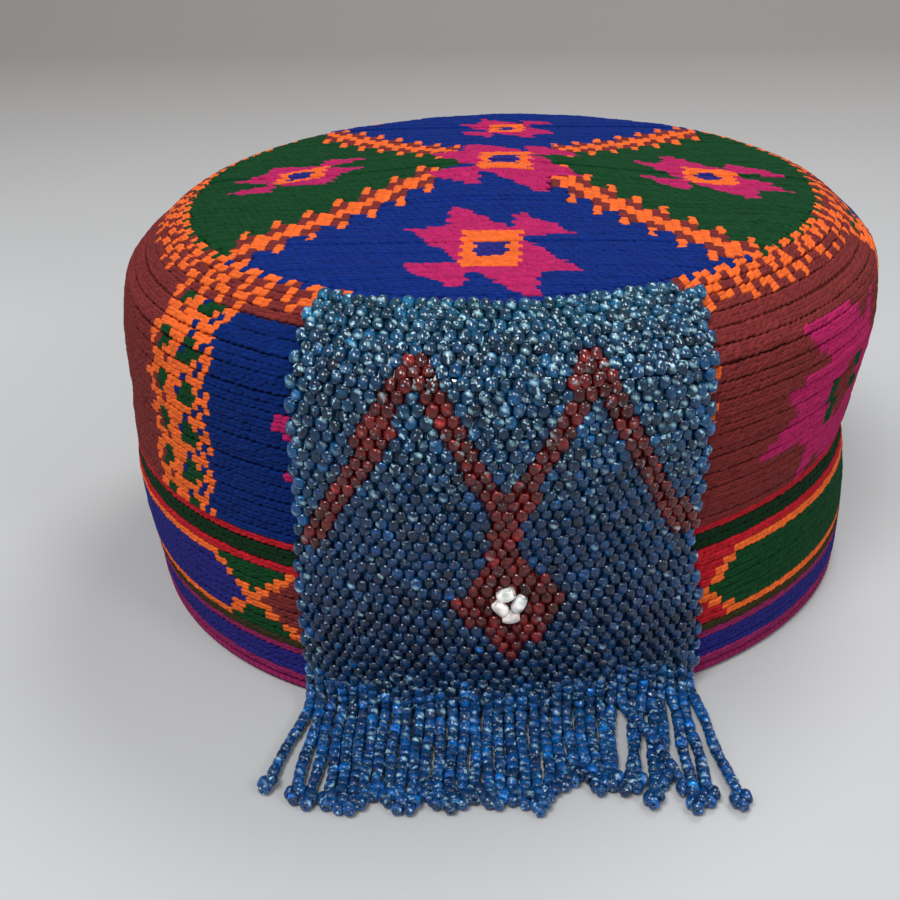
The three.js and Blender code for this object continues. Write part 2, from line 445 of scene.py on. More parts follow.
glass = {
    "shader": {
        "IOR": 1.5, "Specular IOR Level": 0.2, "Coat Weight": 0.6, "Coat Roughness": 0.04,
        "Subsurface Weight": 0.6, "Subsurface Radius": (0.4, 0.9, 1.0), "Subsurface Scale": 0.0018,
    },
    "cloudScale": 700.0,
    "cloudShades": (0.65, 1.35),
    "cloudRoughness": (0.1, 0.3),
    # Painted glints smaller than a bead, mixed into the base colour: their scale and colour, and the range
    # of the noise in which they appear
    "paintedGlintScale": 1100.0,
    "paintedGlintDetail": 1.0,
    "paintedGlintColour": (0.55, 0.88, 1.0),
    "paintedGlintRange": (0.63, 0.73),
    # Share of them at shares of a height in m, and at both ends: many near the top and in the fringe
    "paintedGlintHeight": 0.1,
    "paintedGlintEnds": 0.5,
    "paintedGlintShares": [(0.07, 0.45), (0.14, 0.08), (0.5, 0.15), (0.68, 0.6), (0.8, 0.8)],
    # Glass as red as this shows the fewest of them
    "redFull": 0.08,
    "redShare": 0.25,
}


# Glass seed beads: the dye is the glass, a clear coat gives the sharp glints, and painted glints are mixed
# into the base colour
# Painted glint strength = how bright the noise is x share at the height x share for the redness
def beadMaterial(name):
    material, tree, shader = startMaterial(name, glass["shader"])
    dye = addNode(tree, "Attribute", attribute_name="dye")
    place = addNode(tree, "TexCoord")
    noise = addNode(tree, "TexNoise", {"Scale": glass["cloudScale"]})
    shade = shadeRange(tree, *glass["cloudShades"])
    rough = shadeRange(tree, *glass["cloudRoughness"])
    tinted = addNode(tree, "VectorMath", operation="SCALE")
    glintNoise = addNode(tree, "TexNoise", {"Scale": glass["paintedGlintScale"], "Detail": glass["paintedGlintDetail"]})
    bright = addNode(tree, "MapRange", dict(zip(("From Min", "From Max"), glass["paintedGlintRange"])))
    apart = addNode(tree, "SeparateXYZ")
    tall = addNode(tree, "MapRange", {"From Max": glass["paintedGlintHeight"]})
    share = addNode(tree, "ValToRGB")
    for element in share.color_ramp.elements:
        element.color = (*[glass["paintedGlintEnds"]] * 3, 1)
    for position, value in glass["paintedGlintShares"]:
        share.color_ramp.elements.new(position).color = (value, value, value, 1)
    amount = addNode(tree, "Math", operation="MULTIPLY")
    parts = addNode(tree, "SeparateColor")
    fewer = shadeRange(tree, 1.0, glass["redShare"])
    fewer.inputs["From Max"].default_value = glass["redFull"]
    kept = addNode(tree, "Math", operation="MULTIPLY")
    glinting = addNode(tree, "Mix", {"B": (*glass["paintedGlintColour"], 1)}, data_type="RGBA")
    joinNodes(tree, (place, "Object", noise, "Vector"), (noise, "Fac", shade, "Value"),
              (noise, "Fac", rough, "Value"), (rough, "Result", shader, "Roughness"),
              (dye, "Color", tinted, 0), (shade, "Result", tinted, "Scale"),
              (place, "Object", glintNoise, "Vector"), (glintNoise, "Fac", bright, "Value"),
              (place, "Object", apart, "Vector"), (apart, "Z", tall, "Value"),
              (tall, "Result", share, "Fac"), (bright, "Result", amount, 0), (share, "Color", amount, 1),
              (dye, "Color", parts, "Color"), (parts, "Red", fewer, "Value"),
              (amount, "Value", kept, 0), (fewer, "Result", kept, 1),
              (kept, "Value", glinting, "Factor"), (tinted, "Vector", glinting, "A"),
              (glinting, "Result", shader, "Base Color"))
    return material


seedGlass = beadMaterial("seed_glass")
print("materials are ready")

# The drawing of the embroidery

embroidery = {
    "cellWide": 1.9,
    "cellHigh": 1.95,
    # Angles of the upright hooked columns, from the right side
    "columns": [-136.0, -69.5, -8.0, 52.0, 106.0, 160.0],
    "columnTop": 93.0,
    # Charts: O is orange, M maroon, G green and . the field beside
    # One repeat of a hooked column, the first one starts at columnTop and the others hang below it
    "columnChart": [
        "..OOOOOO.OOO..",
        ".OOGGOOOGGO.O.",
        "OO.GGOO.GGGOO.",
        ".O.GOOOGGGO.O.",
        ".OOO.OOOOO.O..",
    ],
    # Half the outline of a wall star in mm from its middle, the rest is the same turned half round
    "wallStar": [
        (-3, 21.3), (-25, 21.1), (-13.8, 11.3), (-29.8, 8), (-22.8, 1.5),
        (-33.8, -6), (-12.2, -8.8), (-13.3, -21.5), (-5.5, -14),
    ],
    # Its core: how much flatter than tall, and its reach
    "wallCore": (0.8, 7.5),
    # Its four green marks: out across and up, lean across and up, half their size
    "wallMarks": (7.0, 3.2, 0.3, 0.2, 2.4),
    # Angle, length from the hem, share of size, 1 or -1 where it hangs the other way up, core
    "wallStars": [
        (-99.0, 64.0, 1.0, -1, "orange"), (-32.3, 59.2, 0.97, 1, "maroon"),
        (22.0, 62.0, 0.9, -1, "orange"), (79.0, 60.0, 0.85, 1, "maroon"),
        (133.0, 62.0, 0.85, -1, "orange"), (184.0, 60.0, 0.7, 1, "maroon"),
    ],
    # Half the outline of a crown star, in mm for a square ring of 13.4 mm
    "crownStar": [
        (5, 7), (5, 13), (7, 13.5), (15, 9.5), (19, 5.5), (7.5, 5), (7.5, 3),
        (9, 2.2), (20, -8.2), (11, -8.9), (11, -16.4), (8.8, -17), (-3.7, -8.2),
    ],
    # Middle across and back, share of size across and back, how far the rows climb across
    "stars": [
        (0.0, -51.0, 0.93, 1.45, 0.0), (1.0, 5.0, 1.0, 1.4, 0.0),
        (51.0, 2.0, 0.95, 0.95, -0.2), (-51.0, 5.0, 0.85, 0.8, 0.62), (0.5, 52.0, 0.72, 0.8, 0.0),
    ],
    # Half size of the square ring round a crown star's middle, and of the middle, across and back
    "starCore": (6.6, 6.6, 3.2, 2.8),
    # Where back the green quarters meet the blue ones
    "quarterBack": 7.0,
    # Hooked bands of the crown: first cell across and back, step of each repeat across and back,
    # height of a stitch, repeats
    "bands": [
        ((11.0, -4.5), (5.7, -6.5), 2.5, 8), ((-15.0, -3.5), (-5.7, -6.9), 2.6, 7),
        ((12.5, 18.0), (5.7, 4.5), 2.2, 7), ((-11.0, 16.5), (-5.7, 4.8), 2.2, 7),
    ],
    # From the green quarter to the blue one, one repeat of three stitches
    "bandChart": ["..O", "OMO", "OMM", "OOM", "MOO", "MMO", "OMO", "O.."],
    # The hooked ring: its reach from the crown's middle, how many cells go round
    "ringInner": 75.0,
    "ringOuter": 85.0,
    "ringCells": 252,
    # Its rows from the inside out
    "ringChart": ["OO.OO.", "MOOMOO", "OOMMOM", "MOOMOO", "MMOMMO"],
    # Share of its orange stitches that are missed, as by hand
    "ringMissed": 0.12,
    # The inner rows that are left out where the bead panel is sewn on: how many, the angle, half the width
    "ringBare": (3, -89.0, 23.0),
    # Length from the hem at which the wall's pattern starts
    "wallFrom": 40.6,
}

# The band round the brow: long fields between crosses, and stripes above and below
brow = {
    "crosses": [-123.5, -59.5, 2.0, 61.0, 120.0, 178.0],
    "fills": ["maroon", "green", "navy", "maroon", "green", "navy"],
    "triangles": ["green", "red", "green", "red", "green", "red"],
    "middle": 23.4,
    # Half the width of a cross, the slope of its arms and half their thickness
    "cross": (13.0, 0.72, 1.35),
    # The fields' outline: distance from the middle line, half its thickness, where it starts beside a cross
    "outline": (8.0, 1.0, 9.5),
    "stripes": [
        (38.2, 60.0, "red"), (34.4, 38.2, "deepGreen"), (32.4, 34.4, "red"), (12.5, 14.4, "moss"),
        (10.3, 12.5, "plum"), (4.8, 10.3, "navy"), (-9.0, 4.8, "plum"),
    ],
}


# Even-odd test of points against a closed outline, edge by edge
def insideOutline(x, y, outline):
    inside = np.zeros(np.shape(x), bool)
    outline = np.asarray(outline, float)
    for (x0, y0), (x1, y1) in zip(outline, np.roll(outline, -1, axis=0)):
        crosses = (y0 > y) != (y1 > y)
        reach = (x1 - x0) * (y - y0) / (y1 - y0 + 1e-12) + x0
        inside ^= crosses & (x < reach)
    return inside


def turnedOutline(half):
    half = np.asarray(half, float)
    return np.concatenate([half, -half])


# Shortest turn from one angle to another, in radians
def turnBetween(angle, middle):
    return (angle - middle + math.pi) % (2 * math.pi) - math.pi


def chartArray(rows):
    codes = {".": -1, "O": dyeIndex["orange"], "M": dyeIndex["maroon"], "G": dyeIndex["green"]}
    return np.array([[codes[mark] for mark in row] for row in rows])


# Which of the fields that start at the given angles a place lies in
def fieldAt(angle, starts):
    turned = (angle - starts[0]) % (2 * math.pi)
    return np.searchsorted((starts - starts[0]) % (2 * math.pi), turned, side="right") - 1


# Which dye lies at a place on the wall above the red seam
def wallDye(along, angle):
    columns = np.radians(embroidery["columns"])
    radius = capForm["radius"]
    # The blue fields take the wall's darker blue, which is painted shade
    dye = np.where(fieldAt(angle, columns) % 2 == 0, dyeIndex["shadedWallBlue"], dyeIndex["maroon"])
    outline = turnedOutline(embroidery["wallStar"])
    flat, coreReach = embroidery["wallCore"]
    markOut, markUp, leanOut, leanUp, half = embroidery["wallMarks"]
    for middle, height, size, way, core in embroidery["wallStars"]:
        across = turnBetween(angle, math.radians(middle)) * radius / size
        up = (along - height) * way / size
        dye = np.where(insideOutline(across, up, outline), dyeIndex["magenta"], dye)
        dye = np.where(np.abs(across) * flat + np.abs(up) < coreReach, dyeIndex[core], dye)
        marks = np.abs(np.abs(across + up * leanOut) - markOut) < half
        marks &= np.abs(np.abs(up - across * leanUp) - markUp) < half
        dye = np.where(marks, dyeIndex["green"], dye)
    chart = chartArray(embroidery["columnChart"])
    row = np.floor((embroidery["columnTop"] - along) / embroidery["cellHigh"]).astype(int)
    for middle in columns:
        across = turnBetween(angle, middle) * radius
        cell = np.floor(across / embroidery["cellWide"] + chart.shape[1] / 2).astype(int)
        near = (cell >= 0) & (cell < chart.shape[1])
        mark = chart[row % len(chart), np.clip(cell, 0, chart.shape[1] - 1)]
        dye = np.where(near & (mark >= 0), mark, dye)
    return dye


# Which dye lies at a place on the band round the brow
def browDye(along, angle):
    crosses = np.radians(brow["crosses"])
    dye = np.array([dyeIndex[name] for name in brow["fills"]])[fieldAt(angle, crosses)]
    up = np.abs(along - brow["middle"])
    crossHalf, slope, armHalf = brow["cross"]
    for middle, triangle in zip(crosses, brow["triangles"]):
        across = np.abs(turnBetween(angle, middle)) * capForm["radius"]
        near = across < crossHalf
        dye = np.where(near & (up > slope * across), dyeIndex[triangle], dye)
        dye = np.where(near & (np.abs(up - slope * across) < armHalf), dyeIndex["orange"], dye)
    reach, half, start = brow["outline"]
    nearest = np.min([np.abs(turnBetween(angle, middle)) for middle in crosses], axis=0)
    outline = (np.abs(up - reach) < half) & (nearest * capForm["radius"] > start)
    dye = np.where(outline, dyeIndex["orange"], dye)
    for low, high, name in brow["stripes"]:
        dye = np.where((along >= low) & (along < high), dyeIndex[name], dye)
    return dye


# The mark of a hooked band at a place of the drawing, -1 where the field shows, and the side it is on
# Each repeat is three stitches wide and steps outwards from the one before
def bandMark(across, back, band):
    (startX, startY), (stepX, stepY), high, repeats = band
    chart = chartArray(embroidery["bandChart"])
    far = (across - startX) / stepX * chart.shape[1]
    cell = np.floor(far).astype(int)
    repeat = np.floor(far / chart.shape[1])
    outwards = np.sign(stepY)
    down = (back - startY - (repeat + 0.5) * stepY) * outwards / high + len(chart) / 2
    row = np.floor(down).astype(int)
    within = (row >= 0) & (row < len(chart)) & (repeat >= 0) & (repeat < repeats)
    mark = chart[np.clip(row, 0, len(chart) - 1), cell % chart.shape[1]]
    bluer = (back - startY - far / chart.shape[1] * stepY) * outwards > 0
    return np.where(within, mark, -1), bluer


# Which dye lies at a place of the crown's drawing, the hooked bands left out
def crownDye(across, back):
    blue = np.zeros(np.shape(across), bool)
    for band in embroidery["bands"]:
        stepX, stepY = band[1]
        quarter = (across * np.sign(stepX) > 0) & ((back - embroidery["quarterBack"]) * np.sign(stepY) > 0)
        blue |= quarter & bandMark(across, back, band)[1]
    dye = np.where(blue, dyeIndex["blue"], dyeIndex["green"])
    ringX, ringY, coreX, coreY = embroidery["starCore"]
    for star in embroidery["stars"]:
        x, y, inside = starPlace(across, back, star)
        dye = np.where(inside, dyeIndex["magenta"], dye)
        dye = np.where((np.abs(x) < ringX) & (np.abs(y) < ringY), dyeIndex["orange"], dye)
        dye = np.where((np.abs(x) < coreX) & (np.abs(y) < coreY), dyeIndex["navy"], dye)
    return dye


# A place as the star's own drawing has it, and whether it is within the outline
def starPlace(across, back, star):
    middleX, middleY, wide, deep, climb = star
    x = (across - middleX) / wide
    y = (back - middleY - climb * (across - middleX)) / deep
    return x, y, insideOutline(x, y, turnedOutline(embroidery["crownStar"]))


# Whether a place of the drawing lies under a stitch of a hooked band, and not on the middle star
def underBand(across, back):
    under = np.zeros(np.shape(across), bool)
    for band in embroidery["bands"]:
        under |= bandMark(across, back, band)[0] >= 0
    return under & ~starPlace(across, back, embroidery["stars"][1])[2]


# Which dye lies on the hooked ring round the crown's edge
def ringDye(along, angle, inner):
    reach = crownLength - along
    chart = chartArray(embroidery["ringChart"])
    deep = (embroidery["ringOuter"] - embroidery["ringInner"]) / len(chart)
    row = np.floor((reach - embroidery["ringInner"]) / deep).astype(int)
    cell = np.floor(angle / (2 * math.pi) * embroidery["ringCells"] + 0.01).astype(int)
    mark = chart[np.clip(row, 0, len(chart) - 1), cell % chart.shape[1]]
    # Each cell has its own chance between 0 and 1, the same in every run
    chance = np.abs(np.sin(cell * 12.99 + row * 78.23) * 437.58) % 1
    missed = (chance < embroidery["ringMissed"]) & (mark == dyeIndex["orange"])
    mark = np.where(missed, dyeIndex["maroon"], mark)
    bareRows, bareMiddle, bareHalf = embroidery["ringBare"]
    bare = (row < bareRows) & (np.abs(turnBetween(angle, math.radians(bareMiddle))) < math.radians(bareHalf))
    within = (row >= 0) & (row < len(chart)) & ~bare
    return np.where(within, np.where(mark >= 0, mark, inner), inner)


# Any place of the cap
def capDye(along, angle):
    reach = crownLength - along
    across, back = toDrawing(along, angle)
    crown = crownDye(across, back)
    ring = ringDye(along, angle, crown)
    wall = wallDye(along, angle)
    lower = browDye(along, angle)
    dye = np.where(reach < embroidery["ringInner"], crown, ring)
    dye = np.where(reach >= embroidery["ringOuter"], wall, dye)
    return np.where(along < embroidery["wallFrom"], lower, dye)


# Stitches

# wide is half the width, sink is how deep a stitch lies in the cloth
stitch = {
    "long": 3.2,
    "wide": 0.62,
    "high": 0.6,
    "slant": 12.0,
    "sink": 0.1,
    # The two strands of a rib lie apart by this share of a row, up and down from its middle
    "ribShare": 0.2,
    # How far a rib wanders up and down, and how much it stands proud
    "wander": 0.12,
    "proud": 0.08,
    # How much single stitches differ: length, width and height, turn, place, lightness and hue
    "longShares": (0.88, 1.15),
    "wideShares": (0.92, 1.1),
    "highShares": (0.85, 1.15),
    "turnSpread": 6.0,
    "placeSpread": (0.09, 0.06),
    "shadeSpread": 0.07,
    "hueSpread": 0.02,
    # The hooked bands lie over the crown's rows: lift, share of length, share of width
    "bandLift": 0.06,
    "bandLong": 0.92,
    "bandWide": 1.2,
}

# One stitch: a short strand with two pointed ends and two rings of four corners, lying along its first axis
stitchCorners = np.array(
    [(-1, 0, 0)]
    + [(reach, wide, high) for reach in (-0.5, 0.5)
       for wide, high in ((1, -0.3), (0.6, 0.85), (-0.6, 0.85), (-1, -0.3))]
    + [(1, 0, 0)])
stitchTips = np.array(
    [(0, 1 + (step + 1) % 4, 1 + step) for step in range(4)]
    + [(9, 5 + step, 5 + (step + 1) % 4) for step in range(4)])
stitchSides = np.array(
    [(1 + step, 1 + (step + 1) % 4, 5 + (step + 1) % 4, 5 + step) for step in range(4)])


# Lays stitches at places of a flat map, each turned by its angle, and lifts them onto the cap
def layStitches(name, first, second, turn, dye, mapper, random, proud, scale=1.0, broad=1.0):
    count = len(first)
    long = stitch["long"] / 2 * scale * random.uniform(*stitch["longShares"], count)
    wide = stitch["wide"] * broad * random.uniform(*stitch["wideShares"], count)
    high = stitch["high"] * random.uniform(*stitch["highShares"], count)
    turn = turn + np.radians(random.normal(0, stitch["turnSpread"], count))
    first, second = (place + random.normal(0, spread, count)
                     for place, spread in zip((first, second), stitch["placeSpread"]))
    along = stitchCorners[None, :, 0] * long[:, None]
    over = stitchCorners[None, :, 1] * wide[:, None]
    lift = stitchCorners[None, :, 2] * high[:, None] - stitch["sink"] + np.asarray(proud)[:, None]
    cosine = np.cos(turn)[:, None]
    sine = np.sin(turn)[:, None]
    points = mapper(first[:, None] + along * cosine - over * sine,
                    second[:, None] + along * sine + over * cosine, lift).reshape(-1, 3)
    base = (np.arange(count) * len(stitchCorners))[:, None, None]
    tips = (stitchTips[None] + base).reshape(-1, 3)
    sides = (stitchSides[None] + base).reshape(-1, 4)
    shade = random.normal(1, stitch["shadeSpread"], (count, 1))
    shade = shade + random.normal(0, stitch["hueSpread"], (count, 3))
    colour = np.clip(dyeTable[dye] * shade, 0.002, 1)
    colour = np.repeat(colour, len(stitchCorners), axis=0)
    # Every stitch takes its streaks from another part of the map
    mapped = np.stack([stitchCorners[None, :, 0] + random.uniform(0, 9, (count, 1)),
                       stitchCorners[None, :, 1] / 2 + random.uniform(0, 9, (count, 1))], -1)
    buildPiece(name, points, [tips, sides], woolYarn, colour, mapped.reshape(-1, 2))


# Rows round the cap between two lengths, two strands a cell, every other row a little to the side
# Each row is a rib that wanders slowly up and down and stands a little more or less proud
# Rows lie in pairs, drawn together by the pairing in mm, with a deeper furrow between the pairs
def wallStitches(name, low, high, seed, pairing, cells=None, jog=0.3):
    random = np.random.default_rng(seed)
    if cells is None:
        cells = int(round(2 * math.pi * capForm["radius"] / embroidery["cellWide"]))
    rowCount = int(round((high - low) / embroidery["cellHigh"]))
    rows = low + (np.arange(rowCount) + 0.5) * (high - low) / rowCount
    row, cell = np.meshgrid(np.arange(rowCount), np.arange(cells), indexing="ij")
    row = row.ravel()
    middle = (cell.ravel() + 0.5) / cells * 2 * math.pi
    dye = capDye(rows[row], middle)
    middle = middle + jog * ((row % 2) - 0.5) / cells * 2 * math.pi
    spread = capForm["radius"]
    lobes = random.integers(2, 9, (rowCount, 2))
    start = random.uniform(0, 6.3, (rowCount, 2))
    wander = sum(np.sin(lobes[row, wave] * middle + start[row, wave]) for wave in range(2))
    drop = random.normal(0, stitch["wander"] * 0.5, rowCount)[row] + wander * stitch["wander"]
    drop = drop + np.where(row % 2 == 0, pairing, -pairing)
    proud = random.normal(0, stitch["proud"], rowCount)[row] + wander * stitch["proud"] * 0.6
    halfRow = (high - low) / rowCount * stitch["ribShare"]
    first = np.tile(middle, 2) * spread
    second = np.concatenate([rows[row] + drop - halfRow, rows[row] + drop + halfRow])
    layStitches(name, first, second, math.radians(stitch["slant"]), np.tile(dye, 2),
                lambda a, b, lift: capPoint(b, a / spread, lift), random,
                np.tile(proud, 2), spread / lineAt(rows.mean())[0])


# Straight rows across the crown's drawing, out to where the rows run round
def crownStitches(name, reach, backFrom, backTo, seed):
    random = np.random.default_rng(seed)
    wide, high = embroidery["cellWide"], embroidery["cellHigh"]
    row = np.arange(round(backFrom / high), round(backTo / high))
    cell = np.arange(-int(reach / wide) - 1, int(reach / wide) + 2)
    row, cell = np.meshgrid(row, cell, indexing="ij")
    row = row.ravel()
    back = (row + 0.5) * high
    across = (cell.ravel() + 0.5 * (row % 2)) * wide
    proud = np.tile(random.normal(0, stitch["proud"] * 1.2, 99)[row % 99], 2)
    first = np.tile(across, 2)
    second = np.concatenate([back - high / 4, back + high / 4])
    kept = (np.hypot(first, second) < reach) & ~underBand(first, second)
    first, second, proud = first[kept], second[kept], proud[kept]
    dye = capDye(crownLength - np.hypot(first, second), np.arctan2(second, first) + drawingTurn)
    layStitches(name, first, second, math.radians(-stitch["slant"]), dye, drawnPoint, random, proud)


# The stitches of the hooked bands, on their own stepped cells
def bandStitches(name, seed):
    random = np.random.default_rng(seed)
    chart = chartArray(embroidery["bandChart"])
    row, cell = np.nonzero(chart >= 0)
    places = []
    for (startX, startY), (stepX, stepY), high, repeats in embroidery["bands"]:
        repeat = np.arange(repeats)[:, None]
        across = startX + (repeat + (cell + 0.5) / chart.shape[1]) * stepX
        down = (row + 0.5 - len(chart) / 2) * high * np.sign(stepY)
        back = startY + (repeat + 0.5) * stepY + down
        mark = np.broadcast_to(chart[row, cell], across.shape)
        for offset in (-high / 4, high / 4):
            places.append(np.stack([across, back + offset, mark], -1).reshape(-1, 3))
    places = np.concatenate(places)
    onStar = starPlace(places[:, 0], places[:, 1], embroidery["stars"][1])[2]
    places = places[(np.hypot(places[:, 0], places[:, 1]) < planarReach) & ~onStar]
    layStitches(name, places[:, 0], places[:, 1], math.radians(-stitch["slant"]), places[:, 2].astype(int),
                drawnPoint, random, np.full(len(places), stitch["bandLift"]),
                stitch["bandLong"], stitch["bandWide"])


planarReach = embroidery["ringInner"]
ringStart = crownLength - embroidery["ringOuter"]
ringEnd = crownLength - embroidery["ringInner"]
hemTop = 3.2
browTop = 38.6
wallMiddle = 60.0
rimStart = 78.6
drawingHalf = 78.0
wallStitches("brow_stitches", hemTop, browTop, 21, 0.04)
wallStitches("wall_stitches_low", browTop, wallMiddle, 22, 0.06)
wallStitches("wall_stitches_high", wallMiddle, rimStart, 23, 0.12)
wallStitches("rim_stitches", rimStart, ringStart, 24, 0.12)
wallStitches("ring_stitches", ringStart, ringEnd, 27, 0.0, embroidery["ringCells"], 0.0)
crownStitches("crown_stitches_front", planarReach, -drawingHalf, 0.0, 25)
crownStitches("crown_stitches_back", planarReach, 0.0, drawingHalf, 26)
bandStitches("band_stitches", 28)
print("stitches are laid")

# Ground cloth under the stitches

ground = {
    "sides": 192,
    "sunk": 0.25,
    # Painted shade: the cloth between the stitches takes the thread's colour darkened by this share,
    # standing in for the shade in the grooves
    "shade": 0.62,
    "fill": 0.9,
    "mapRadius": 60.0,
    "wallSteps": 28,
    "browSteps": 26,
    # Rings of the crown's upper and lower side, and how far from the middle the last one lies
    "crownSteps": 48,
    "lowerSteps": 30,
    "lastRing": 3.0,
    # The lower side starts this far above the seam
    "lowerStart": 3.2,
}
roundAngles = np.arange(ground["sides"]) / ground["sides"] * 2 * math.pi


# Length along the line at a height below the crown's seam
def alongAt(height):
    rising = linePoints[:, 1] < capForm["rimHeight"] + 1
    return float(np.interp(height, linePoints[rising, 1], lineLength[rising]))


gap = capForm["seamGap"] / 2
browAlong = alongAt(capForm["browHeight"])
rimAlong = alongAt(capForm["rimHeight"])
hemAlong = alongAt(capForm["hemHeight"])


# Rings of points round the cap at each length along the line, sunk by the given depth, and their dyes
# darkened as painted shade
def clothRings(along, depth):
    along, angle = np.meshgrid(along, roundAngles, indexing="ij")
    return capPoint(along, angle, -depth), dyeTable[capDye(along, angle)] * ground["shade"], along, angle


# Builds a shell from its closed mesh and lets it stand for a node
def layCloth(name, points, faceSets, dye, mapped, node):
    piece = buildPiece(name, points, faceSets, feltedGround, dye, mapped)
    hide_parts(node)


# A turned shell between two lengths: outer side up, inner side down, closed on itself
def clothShell(name, low, high, steps, node):
    rise = np.linspace(low, high, steps)
    depth = np.repeat([ground["sunk"], capForm["thickness"]], steps)[:, None]
    points, dye, along, angle = clothRings(np.concatenate([rise, rise[::-1]]), depth)
    faces = gridFaces(2 * steps, ground["sides"], True, True)
    mapped = np.stack([angle * ground["mapRadius"], along], -1).reshape(-1, 2)
    layCloth(name, points.reshape(-1, 3), [faces], dye.reshape(-1, 3), mapped, node)


clothShell("side_wall_cloth", browAlong + gap, rimAlong - gap, ground["wallSteps"],
           "side_wall")
clothShell("brow_band_cloth", hemAlong + gap, browAlong - gap, ground["browSteps"],
           "brow_band")


# The crown's cloth runs to the middle, where a fan of triangles closes each side
def crownCloth():
    last = crownLength - ground["lastRing"]
    lower = np.linspace(rimAlong + ground["lowerStart"], last, ground["lowerSteps"])[::-1]
    upper = np.linspace(rimAlong + gap, last, ground["crownSteps"])
    depth = np.repeat([capForm["thickness"], ground["sunk"]], [len(lower) + 1, len(upper)])[:, None]
    rings, dye = clothRings(np.concatenate([lower, [rimAlong + gap], upper]), depth)[:2]
    middles = [capPoint(np.array([crownLength]), np.array([0.0]), -sunk)
               for sunk in (ground["sunk"], capForm["thickness"])]
    points = np.concatenate([rings.reshape(-1, 3), *middles])
    count = ground["sides"]
    ring = np.arange(count)
    after = (ring + 1) % count
    start = (len(rings) - 1) * count
    topFan = np.stack([start + ring, start + after, np.full(count, len(points) - 2)], -1)
    lowFan = np.stack([after, ring, np.full(count, len(points) - 1)], -1)
    # The middle takes the navy, darkened as painted shade like the rest of the cloth
    middleDye = np.tile(dyeTable[dyeIndex["navy"]] * ground["shade"], (2, 1))
    dye = np.concatenate([dye.reshape(-1, 3), middleDye])
    faces = gridFaces(len(rings), count, False, True)
    layCloth("crown_cloth", points, [topFan, lowFan, faces], dye, points[:, :2], "crown")


crownCloth()

hem = {
    "wraps": 300,
    "cornersPerWrap": 3,
    "ringCorners": 14,
    # How far a wrap turns while it runs round the roll, as an angle in radians for each radian
    "slant": 0.35,
    # The roll lies at this length of the line, its middle and half height, and how far it stands out
    "along": 1.2,
    "middle": 1.4,
    "halfHigh": 1.25,
    "proud": 0.35,
    # How far a wrap stands out, and up
    "wrapOut": 0.22,
    "wrapUp": 0.12,
    "lowest": 0.02,
    # Painted shade between the wraps: the darkest share of the plum there, and how much lighter the wraps'
    # crests are
    "shade": (0.7, 0.45),
    "mapRadius": 90.0,
}


# The whipped hem: a roll with slanted wraps, flat underneath
def hemRoll():
    sides = hem["wraps"] * hem["cornersPerWrap"]
    ring = np.linspace(0, 2 * math.pi, hem["ringCorners"], endpoint=False)
    ring, angle = np.meshgrid(ring, np.arange(sides) / sides * 2 * math.pi, indexing="ij")
    wrap = np.abs(np.sin(angle * hem["wraps"] / 2 + ring * hem["slant"]))
    thick = capForm["thickness"] / 2
    radius, lean = lineAt(np.array([hem["along"]]))[::2]
    level = hem["middle"] + hem["halfHigh"] * np.sin(ring) + hem["wrapUp"] * wrap
    reach = radius - thick + (thick + hem["proud"]) * np.cos(ring) + hem["wrapOut"] * (wrap - 0.5)
    points = mould(reach, np.maximum(level, hem["lowest"]), lean, angle)
    points[..., 2] = np.maximum(points[..., 2], 0.0)
    # Painted shade: the plum is darker between the wraps and paler on their crests
    darkest, lighter = hem["shade"]
    dye = dyeTable[dyeIndex["plum"]] * (darkest + lighter * wrap[..., None])
    mapped = np.stack([angle * hem["mapRadius"], ring], -1)
    faces = gridFaces(len(ring), sides, True, True)
    piece = buildPiece("hem_roll", points.reshape(-1, 3), [faces[:, ::-1]], woolYarn,
                       dye.reshape(-1, 3), mapped.reshape(-1, 2))
    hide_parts("hem_edge")


hemRoll()
print("ground cloth and hem are done")

# Bead panel

